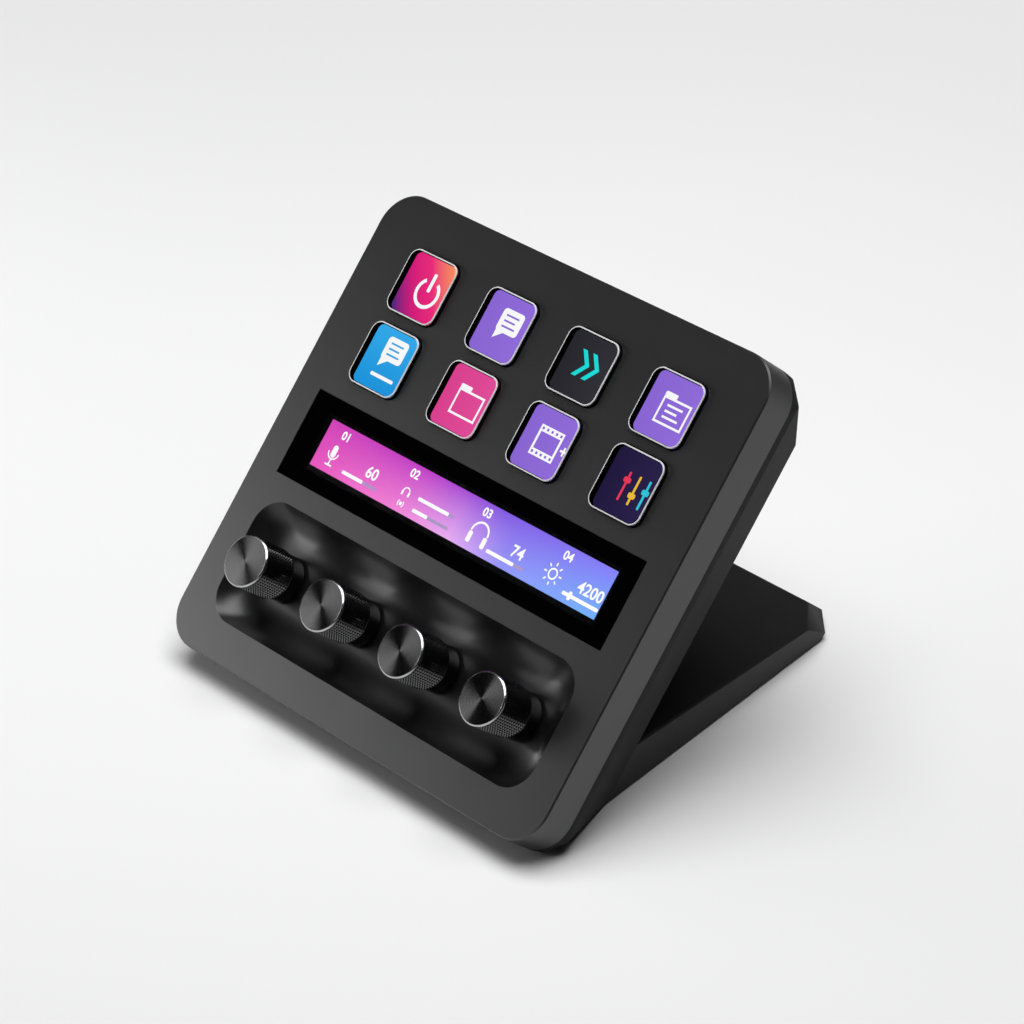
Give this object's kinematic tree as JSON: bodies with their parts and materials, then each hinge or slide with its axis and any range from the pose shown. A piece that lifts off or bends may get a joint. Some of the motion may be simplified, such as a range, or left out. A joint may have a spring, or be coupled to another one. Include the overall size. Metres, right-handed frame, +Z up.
{
  "type": "macro keypad with knobs",
  "caption": "Desk control pad: clear display keys, a glass touch strip and push-and-turn dials in a dished valley, on a slim housing that leans back on a wedge-shaped foot.",
  "frame": {"origin": "on the table, under the middle of the part", "axes": "+X to the user's right, +Y to the rear, +Z up; the face looks towards -Y and up"},
  "size_m": [0.14, 0.1408, 0.1099],
  "materials": {
    "housing_grey": "satin, very fine grain",
    "cover_grey": "matt, fine grain",
    "foot_grey": "matt, fine grain",
    "strip_glass": "polished, tinted dark",
    "strip_screen": "display panel",
    "key_screen": "display panel",
    "clear_key": "clear, polished",
    "inner_black": "matt",
    "membrane_rubber": "matt",
    "sheet_steel": "zinc plated",
    "circuit_board": "solder mask",
    "screw_steel": "plated",
    "socket_steel": "plated",
    "base_black": "matt",
    "pad_rubber": "matt",
    "encoder_black": "matt",
    "plunger_white": "smooth",
    "shaft_steel": "turned",
    "dial_black": "black anodised, knurled",
    "dial_cap_black": "black anodised, spun"
  },
  "bodies": {
    "base": {"faceplate": "housing_grey", "rear_cover": "cover_grey", "foot": "foot_grey", "strip_glass": "strip_glass", "strip_display": "strip_screen", "key_display": "key_screen", "display_bracket": "sheet_steel", "key_guide": "inner_black", "key_membrane": "membrane_rubber", "main_board": "circuit_board", "usb_board": "circuit_board", "board_screws": "screw_steel", "foot_screws": "screw_steel", "usb_port": "socket_steel", "base_plate": "base_black", "base_pad": "pad_rubber", "front_pad": "pad_rubber", "encoder_body_1": "encoder_black", "encoder_body_2": "encoder_black", "encoder_body_3": "encoder_black", "encoder_body_4": "encoder_black"},
    "key_1": {"keycap_1": "clear_key", "key_skirt_1": "inner_black"},
    "key_2": {"keycap_2": "clear_key", "key_skirt_2": "inner_black"},
    "key_3": {"keycap_3": "clear_key", "key_skirt_3": "inner_black"},
    "key_4": {"keycap_4": "clear_key", "key_skirt_4": "inner_black"},
    "key_5": {"keycap_5": "clear_key", "key_skirt_5": "inner_black"},
    "key_6": {"keycap_6": "clear_key", "key_skirt_6": "inner_black"},
    "key_7": {"keycap_7": "clear_key", "key_skirt_7": "inner_black"},
    "key_8": {"keycap_8": "clear_key", "key_skirt_8": "inner_black"},
    "dial_1_push": {"push_plunger_1": "plunger_white"},
    "dial_1": {"dial_sleeve_1": "dial_black", "dial_cap_1": "dial_cap_black", "dial_shaft_1": "shaft_steel"},
    "dial_2_push": {"push_plunger_2": "plunger_white"},
    "dial_2": {"dial_sleeve_2": "dial_black", "dial_cap_2": "dial_cap_black", "dial_shaft_2": "shaft_steel"},
    "dial_3_push": {"push_plunger_3": "plunger_white"},
    "dial_3": {"dial_sleeve_3": "dial_black", "dial_cap_3": "dial_cap_black", "dial_shaft_3": "shaft_steel"},
    "dial_4_push": {"push_plunger_4": "plunger_white"},
    "dial_4": {"dial_sleeve_4": "dial_black", "dial_cap_4": "dial_cap_black", "dial_shaft_4": "shaft_steel"}
  },
  "joints": [
    {"name": "key_1_press", "type": "slide", "parent": "base", "child": "key_1", "axis": [0, 0.7694, -0.6388], "range_m": [0, 0.001], "stiffness_N_per_m": 400, "springref_m": -0.0008},
    {"name": "key_2_press", "type": "slide", "parent": "base", "child": "key_2", "axis": [0, 0.7694, -0.6388], "range_m": [0, 0.001], "stiffness_N_per_m": 400, "springref_m": -0.0008},
    {"name": "key_3_press", "type": "slide", "parent": "base", "child": "key_3", "axis": [0, 0.7694, -0.6388], "range_m": [0, 0.001], "stiffness_N_per_m": 400, "springref_m": -0.0008},
    {"name": "key_4_press", "type": "slide", "parent": "base", "child": "key_4", "axis": [0, 0.7694, -0.6388], "range_m": [0, 0.001], "stiffness_N_per_m": 400, "springref_m": -0.0008},
    {"name": "key_5_press", "type": "slide", "parent": "base", "child": "key_5", "axis": [0, 0.7694, -0.6388], "range_m": [0, 0.001], "stiffness_N_per_m": 400, "springref_m": -0.0008},
    {"name": "key_6_press", "type": "slide", "parent": "base", "child": "key_6", "axis": [0, 0.7694, -0.6388], "range_m": [0, 0.001], "stiffness_N_per_m": 400, "springref_m": -0.0008},
    {"name": "key_7_press", "type": "slide", "parent": "base", "child": "key_7", "axis": [0, 0.7694, -0.6388], "range_m": [0, 0.001], "stiffness_N_per_m": 400, "springref_m": -0.0008},
    {"name": "key_8_press", "type": "slide", "parent": "base", "child": "key_8", "axis": [0, 0.7694, -0.6388], "range_m": [0, 0.001], "stiffness_N_per_m": 400, "springref_m": -0.0008},
    {"name": "dial_1_press", "type": "slide", "parent": "base", "child": "dial_1_push", "axis": [0, 0.7694, -0.6388], "range_m": [0, 0.0005], "stiffness_N_per_m": 2000, "springref_m": -0.0006},
    {"name": "dial_1_turn", "type": "hinge", "parent": "dial_1_push", "child": "dial_1", "pos_m": [-0.04475, -0.05301, 0.0295], "axis": [0, -0.7694, 0.6388], "continuous": true},
    {"name": "dial_2_press", "type": "slide", "parent": "base", "child": "dial_2_push", "axis": [0, 0.7694, -0.6388], "range_m": [0, 0.0005], "stiffness_N_per_m": 2000, "springref_m": -0.0006},
    {"name": "dial_2_turn", "type": "hinge", "parent": "dial_2_push", "child": "dial_2", "pos_m": [-0.01491, -0.05301, 0.0295], "axis": [0, -0.7694, 0.6388], "continuous": true},
    {"name": "dial_3_press", "type": "slide", "parent": "base", "child": "dial_3_push", "axis": [0, 0.7694, -0.6388], "range_m": [0, 0.0005], "stiffness_N_per_m": 2000, "springref_m": -0.0006},
    {"name": "dial_3_turn", "type": "hinge", "parent": "dial_3_push", "child": "dial_3", "pos_m": [0.01491, -0.05301, 0.0295], "axis": [0, -0.7694, 0.6388], "continuous": true},
    {"name": "dial_4_press", "type": "slide", "parent": "base", "child": "dial_4_push", "axis": [0, 0.7694, -0.6388], "range_m": [0, 0.0005], "stiffness_N_per_m": 2000, "springref_m": -0.0006},
    {"name": "dial_4_turn", "type": "hinge", "parent": "dial_4_push", "child": "dial_4", "pos_m": [0.04475, -0.05301, 0.0295], "axis": [0, -0.7694, 0.6388], "continuous": true}
  ]
}
